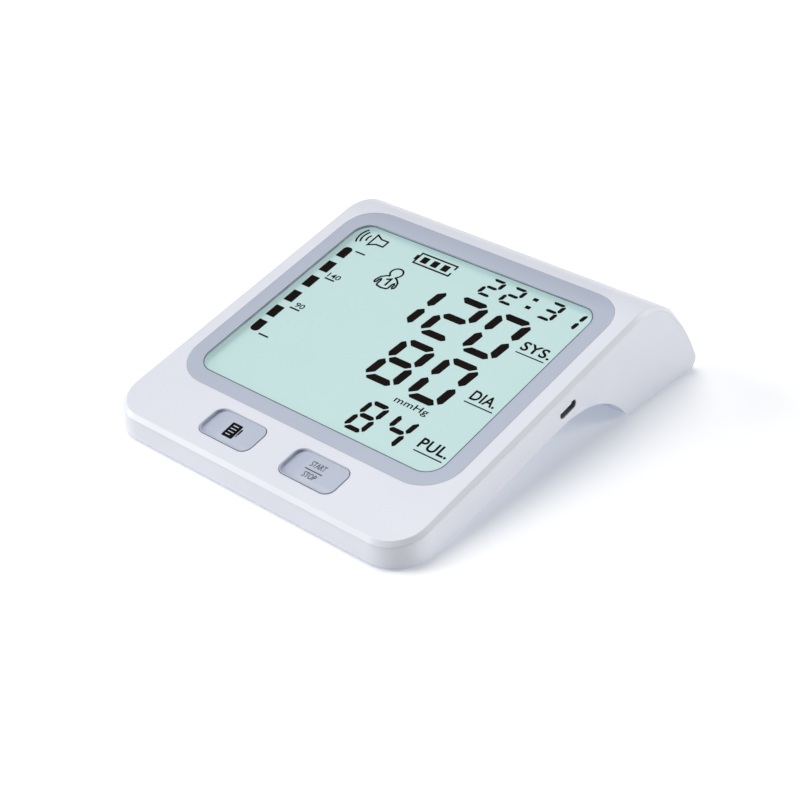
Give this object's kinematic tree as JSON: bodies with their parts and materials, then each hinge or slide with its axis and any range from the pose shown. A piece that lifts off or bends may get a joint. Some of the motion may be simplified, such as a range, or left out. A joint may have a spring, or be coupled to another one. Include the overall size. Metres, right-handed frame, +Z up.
{
  "type": "upper arm blood pressure monitor",
  "caption": "Sloping tabletop monitor on a hollow rear foot, with a large segment display, push buttons, air pump, battery bay and hose socket.",
  "frame": {"origin": "under the middle of the monitor, on the surface that its four rubber feet stand on", "axes": "+X to the user's right, +Y to the back, +Z up; the top face leans back at 13.3 degrees"},
  "size_m": [0.138, 0.171, 0.0406],
  "materials": {
    "black_epoxy": "moulded black epoxy",
    "board": "green solder mask on glass epoxy",
    "cell_jacket": "shrink sleeve over steel",
    "clear_guide": "milky acrylic light guide",
    "clear_lens": "clear acrylic window, polished",
    "copper_core": "laminated core with copper windings",
    "dark_plastic": "moulded black plastic",
    "foam": "closed-cell foam",
    "grey_button": "satin moulded ABS, cool grey with printed pictogram",
    "grey_trim": "satin moulded ABS, cool grey",
    "iron": "sintered ferrite",
    "lcd_glass": "reflective liquid crystal display, pale mint, with dark segments",
    "nickel": "nickel-plated spring steel",
    "rubber": "soft moulded rubber",
    "silicone": "translucent silicone",
    "steel": "bright steel",
    "white_shell": "fine satin moulded ABS, cool white"
  },
  "bodies": {
    "housing": {"air_manifold": "dark_plastic", "air_socket": "grey_trim", "battery_cells": "cell_jacket", "battery_contact_bridge": "nickel", "battery_contact_negative": "nickel", "battery_contact_positive": "nickel", "battery_springs": "nickel", "board_chips": "black_epoxy", "board_screws": "steel", "charging_port_shell": "steel", "charging_port_tongue": "black_epoxy", "cuff_tube": "silicone", "display_bezel": "grey_trim", "display_lens": "clear_lens", "housing_screws": "steel", "lcd_contact_strip": "silicone", "lcd_holder": "dark_plastic", "lcd_panel": "lcd_glass", "light_guide": "clear_guide", "lower_housing": "white_shell", "main_board": "board", "memory_switch": "black_epoxy", "pressure_sensor": "black_epoxy", "pump_can": "steel", "pump_diaphragm": "rubber", "pump_end_cap": "dark_plastic", "pump_foam": "foam", "pump_head": "dark_plastic", "pump_magnet": "iron", "pump_tube": "silicone", "rubber_feet": "rubber", "sensor_tube": "silicone", "speaker_basket": "steel", "speaker_cone": "dark_plastic", "start_switch": "black_epoxy", "top_cover": "white_shell", "valve_body": "steel", "valve_spring": "steel"},
    "memory_button_body": {"memory_button": "grey_button", "memory_plunger": "dark_plastic"},
    "start_button_body": {"start_button": "grey_button", "start_plunger": "dark_plastic"},
    "battery_door_body": {"battery_door": "white_shell"},
    "pump_rotor_body": {"pump_rotor": "copper_core"},
    "valve_plunger_body": {"valve_plunger": "steel"}
  },
  "joints": [
    {"name": "memory_button_press", "type": "slide", "parent": "housing", "child": "memory_button_body", "axis": [0, 0.23, -0.9732], "range_m": [0, 0.0006], "stiffness_N_per_m": 600, "springref_m": -0.0006},
    {"name": "start_button_press", "type": "slide", "parent": "housing", "child": "start_button_body", "axis": [0, 0.23, -0.9732], "range_m": [0, 0.0006], "stiffness_N_per_m": 600, "springref_m": -0.0006},
    {"name": "battery_door_swing", "type": "hinge", "parent": "housing", "child": "battery_door_body", "pos_m": [0, 0.0784, 0.0021], "axis": [1, 0, 0], "range_deg": [0, 80]},
    {"name": "pump_spin", "type": "hinge", "parent": "housing", "child": "pump_rotor_body", "pos_m": [0.025, 0.052, 0.0279], "axis": [1, 0, 0], "continuous": true},
    {"name": "valve_stroke", "type": "slide", "parent": "housing", "child": "valve_plunger_body", "axis": [-1, 0, 0], "range_m": [0, 0.0008], "stiffness_N_per_m": 150, "springref_m": -0.001, "deforming": ["valve_spring"]}
  ]
}
